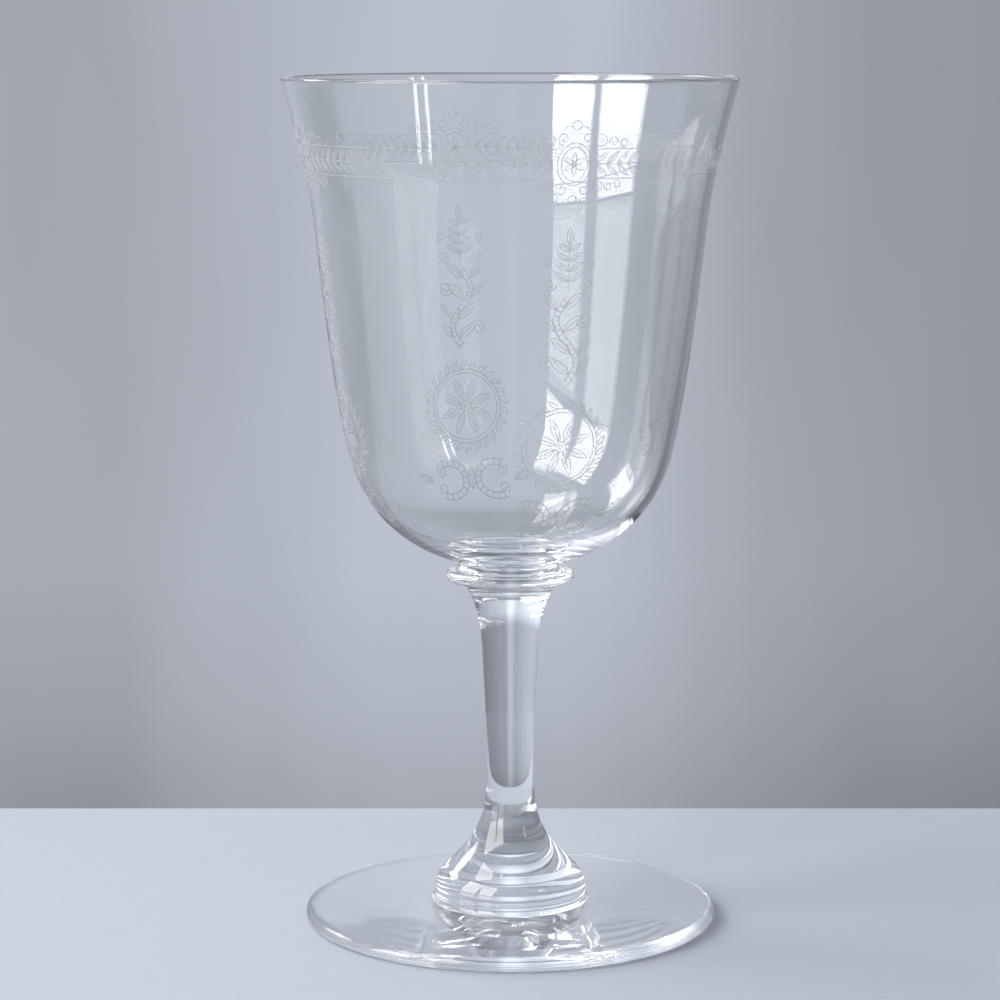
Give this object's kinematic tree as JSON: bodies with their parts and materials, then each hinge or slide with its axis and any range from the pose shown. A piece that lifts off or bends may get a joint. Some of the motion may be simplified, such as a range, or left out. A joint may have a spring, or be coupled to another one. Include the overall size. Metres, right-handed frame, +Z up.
{
  "type": "wine glass",
  "caption": "Stemmed wine glass with a deep round-bottomed bowl, an everted rim, a saucer collar, a drawn stem on a cushion button, and a broad foot.",
  "frame": {"origin": "middle of the ring that the foot stands on, on the surface it stands on", "axes": "+Z up, along the glass's axis of revolution; X and Y are any two directions across it, with the etched panel turned a little to +X of -Y"},
  "size_m": [0.0798, 0.0798, 0.15],
  "materials": {
    "foot_crystal": "clear lead crystal, fire polished",
    "stem_crystal": "clear lead crystal, solid, fire polished",
    "bowl_crystal": "clear lead crystal, thin blown wall with a fine frosted etching on the outside",
    "frosted_etching": "acid-etched matt lines on the crystal"
  },
  "bodies": {
    "root": {"foot": "foot_crystal", "stem_button": "stem_crystal", "stem": "stem_crystal", "collar": "stem_crystal", "bowl": "bowl_crystal"}
  },
  "joints": []
}
